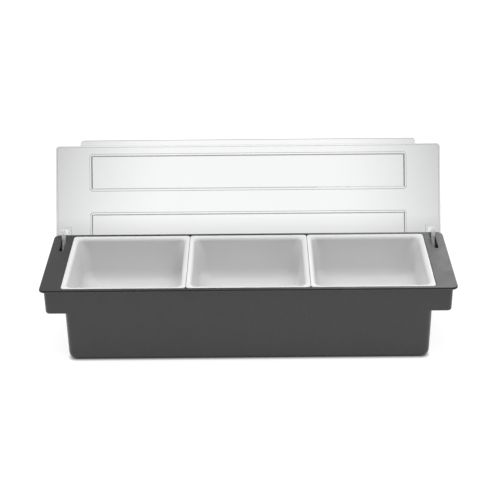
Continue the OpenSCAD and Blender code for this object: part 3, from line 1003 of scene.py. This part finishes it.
def makeFloor():
    half = studio["floor"] / 2
    mesh = bpy.data.meshes.new("floor")
    corners = [(-half, -half, 0), (half, -half, 0), (half, half, 0), (-half, half, 0)]
    mesh.from_pydata(corners, [], [(0, 1, 2, 3)])
    floor = newObject("floor", mesh)
    material, tree, output = newFinish("paleFloor")
    albedo = studio["floorAlbedo"]
    diffuse = addNode(tree, "ShaderNodeBsdfDiffuse", {0: (albedo, albedo, albedo, 1)})
    path = addNode(tree, "ShaderNodeLightPath").outputs
    place = addNode(tree, "ShaderNodeTexCoord").outputs["Object"]
    way = addNode(tree, "ShaderNodeSeparateXYZ", {0: place}).outputs
    end = studio["sweepEnd"]
    # seen through the lid, the floor has a painted pool of light: bright in the middle, fading to its sides
    # and far away
    paintedPool = calc(tree, "MULTIPLY", fade(tree, way[0], studio["paintedPoolWide"], end),
                 fade(tree, way[1], studio["paintedPoolDeep"], end))
    # painted shadow: the floor seen through the lid is dimmer close behind the caddy
    near, far, dim = studio["paintedShadowNear"]
    paintedPool = calc(tree, "MULTIPLY", paintedPool, remap(tree, calc(tree, "ABSOLUTE", way[1]), near, far, dim, 1))
    behindLid = calc(tree, "MULTIPLY", paintedPool, studio["seenThrough"])
    level = remap(tree, path["Is Glossy Ray"], 0, 1, 1, studio["mirroredFloor"])
    level = remap(tree, path["Is Transmission Ray"], 0, 1, level, behindLid)
    occlusion = addNode(tree, "ShaderNodeAmbientOcclusion", {"Distance": studio["contact"]},
                        samples=studio["contactSamples"])
    contact = calc(tree, "POWER", occlusion.outputs["AO"], studio["contactDepth"])
    grey = calc(tree, "MULTIPLY", level, studio["lit"])
    shaded = addNode(tree, "ShaderNodeCombineXYZ", {0: grey, 1: grey, 2: grey})
    lit = addNode(tree, "ShaderNodeBsdfDiffuse", {0: shaded.outputs[0]})
    strength = calc(tree, "MULTIPLY", calc(tree, "MULTIPLY", level, studio["glow"]), contact)
    glow = addNode(tree, "ShaderNodeEmission", {0: (1, 1, 1, 1), 1: strength})
    seen = addNode(tree, "ShaderNodeAddShader", {0: lit.outputs[0], 1: glow.outputs[0]})
    second = calc(tree, "MAXIMUM", path["Is Glossy Ray"], path["Is Transmission Ray"])
    anySeen = calc(tree, "MAXIMUM", second, path["Is Camera Ray"])
    mix = addNode(tree, "ShaderNodeMixShader", {0: anySeen, 1: diffuse.outputs[0], 2: seen.outputs[0]})
    tree.links.new(mix.outputs[0], output.inputs["Surface"])
    mesh.materials.append(material)


def makeWorld():
    # white to the camera, and a room that is bright behind the table and dim in front of it
    world = bpy.data.worlds.new("softRoom")
    world.use_nodes = True
    tree = world.node_tree
    tree.nodes.clear()
    output = tree.nodes.new("ShaderNodeOutputWorld")
    direction = addNode(tree, "ShaderNodeTexCoord").outputs["Generated"]
    way = addNode(tree, "ShaderNodeSeparateXYZ", {0: direction}).outputs
    path = addNode(tree, "ShaderNodeLightPath").outputs
    backward = smoothRemap(tree, way[1], *studio["turn"], 0.0, 1.0)
    room = remap(tree, backward, 0, 1, studio["front"], studio["back"])
    ends = calc(tree, "POWER", way[0], studio["endsPower"])
    room = calc(tree, "ADD", room, calc(tree, "MULTIPLY", ends, studio["ends"]))
    mirrored = remap(tree, backward, 0, 1, studio["mirroredFront"], studio["mirroredBack"])
    level = remap(tree, path["Is Glossy Ray"], 0, 1, room, mirrored)
    lowSky = remap(tree, backward, 0, 1, studio["sweepEnd"], studio["lowSky"])
    level = remap(tree, path["Is Transmission Ray"], 0, 1, level, lowSky)
    level = remap(tree, path["Is Camera Ray"], 0, 1, level, 1.0)
    shader = addNode(tree, "ShaderNodeBackground", {0: (1, 1, 1, 1), 1: level})
    tree.links.new(shader.outputs[0], output.inputs["Surface"])
    bpy.context.scene.world = world


overheadLamp = {
    "place": (-0.05, -0.05, 1.6),
    "aim": (0, 0, 0.05),
    "size": (2.7, 0.8),
    "watts": 27.5,
}
backLamp = {
    "place": (0.60, 1.5, 0.85),
    "aim": (0, 0, 0.08),
    "size": (0.9, 0.7),
    "watts": 3.9,
}


def makeLamp(name, settings):
    data = bpy.data.lights.new(name, "AREA")
    data.shape = "RECTANGLE"
    data.size, data.size_y = settings["size"]
    data.energy = settings["watts"]
    lamp = newObject(name, data)
    lamp.location = settings["place"]
    aim = Vector(settings["aim"]) - Vector(settings["place"])
    lamp.rotation_euler = aim.to_track_quat("-Z", "Y").to_euler()
    lamp.visible_transmission = False  # the clear lid doesn't show it
    return lamp


makeFloor()
makeWorld()
overhead = makeLamp("overheadSoftbox", overheadLamp)
overhead.visible_glossy = False  # keeps the rounded edges dark, and the finger lip clear
makeLamp("backSoftbox", backLamp)
print("studio ready")

view = {
    "yaw": 0.21,          # degrees
    "elevation": 26.87,
    "roll": -0.59,
    "distance": 1617.79,  # millimetres
    "target": (4.54, 0.0, 114.36),
    "focalPixels": 1300.47,
    "framePixels": 500,
    "centreX": 251.85,    # column of the frame that the camera's axis meets
    "sensor": 36.0,       # millimetres
    "clipEnd": 50,        # metres
}


def makeCamera():
    data = bpy.data.cameras.new("camera")
    camera = newObject("camera", data)
    yaw, elevation, roll = (math.radians(view[k]) for k in ("yaw", "elevation", "roll"))
    level = math.cos(elevation)
    back = Vector((math.sin(yaw) * level, -math.cos(yaw) * level, math.sin(elevation)))
    right = (-back).cross(Vector((0, 0, 1))).normalized()
    up = right.cross(-back)
    across = math.cos(roll) * right + math.sin(roll) * up
    upright = math.cos(roll) * up - math.sin(roll) * right
    place = (Vector(view["target"]) + back * view["distance"]) * mm
    camera.matrix_world = Matrix.Translation(place) @ Matrix((across, upright, back)).transposed().to_4x4()
    data.sensor_width = view["sensor"]
    data.lens = view["focalPixels"] / view["framePixels"] * view["sensor"]
    data.shift_x = (view["framePixels"] / 2 - view["centreX"]) / view["framePixels"]
    data.clip_end = view["clipEnd"]
    bpy.context.scene.camera = camera


makeCamera()
bpy.context.scene.view_settings.view_transform = "Standard"
